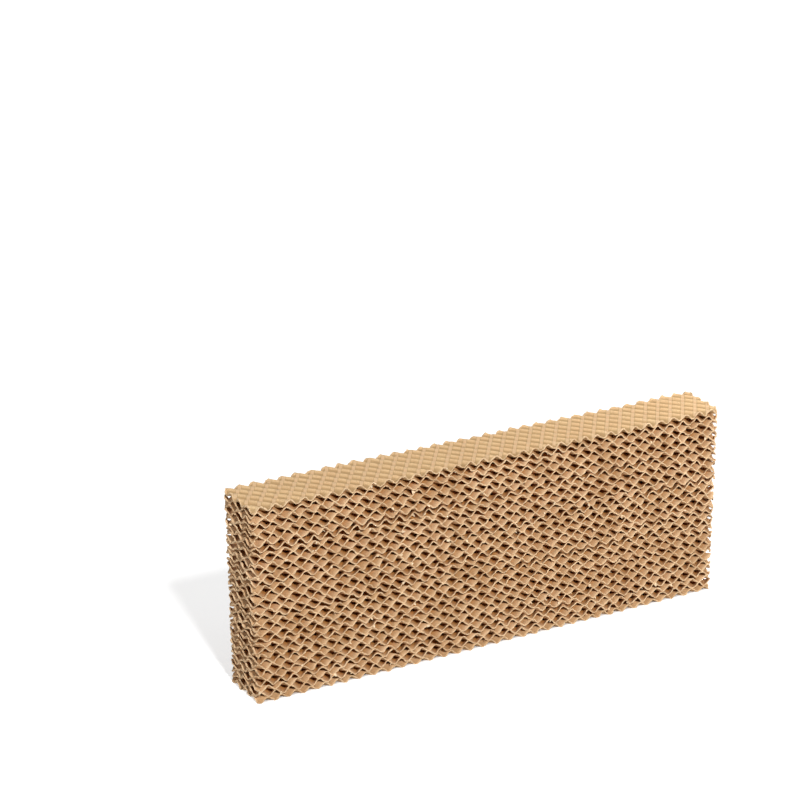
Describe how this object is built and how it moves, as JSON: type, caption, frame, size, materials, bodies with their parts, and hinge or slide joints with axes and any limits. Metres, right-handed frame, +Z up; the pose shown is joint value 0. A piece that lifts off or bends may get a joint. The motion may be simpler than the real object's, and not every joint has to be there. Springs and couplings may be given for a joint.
{
  "type": "evaporative cooling pad",
  "caption": "Block of fluted kraft paper sheets glued crest to crest with alternately leaning flutes, which passes air through while water runs down the paper and cools it",
  "frame": {"origin": "middle of the underside of the pad's box, in the plane that the pad stands on", "axes": "+X along the length to the right of the front, front air face toward -Y, +Z up through the stack of sheets"},
  "size_m": [0.6, 0.064, 0.238],
  "materials": {
    "kraft_paper": "matte, resin-stiffened kraft brown paper with paler cut edges"
  },
  "bodies": {
    "root": {"sheet_01": "kraft_paper", "sheet_02": "kraft_paper", "sheet_03": "kraft_paper", "sheet_04": "kraft_paper", "sheet_05": "kraft_paper", "sheet_06": "kraft_paper", "sheet_07": "kraft_paper", "sheet_08": "kraft_paper", "sheet_09": "kraft_paper", "sheet_10": "kraft_paper", "sheet_11": "kraft_paper", "sheet_12": "kraft_paper", "sheet_13": "kraft_paper", "sheet_14": "kraft_paper", "sheet_15": "kraft_paper", "sheet_16": "kraft_paper", "sheet_17": "kraft_paper", "sheet_18": "kraft_paper", "sheet_19": "kraft_paper", "sheet_20": "kraft_paper", "sheet_21": "kraft_paper", "sheet_22": "kraft_paper", "sheet_23": "kraft_paper", "sheet_24": "kraft_paper", "sheet_25": "kraft_paper", "sheet_26": "kraft_paper", "sheet_27": "kraft_paper", "sheet_28": "kraft_paper", "sheet_29": "kraft_paper", "sheet_30": "kraft_paper", "sheet_31": "kraft_paper", "sheet_32": "kraft_paper", "sheet_33": "kraft_paper", "sheet_34": "kraft_paper", "sheet_35": "kraft_paper"}
  },
  "joints": []
}
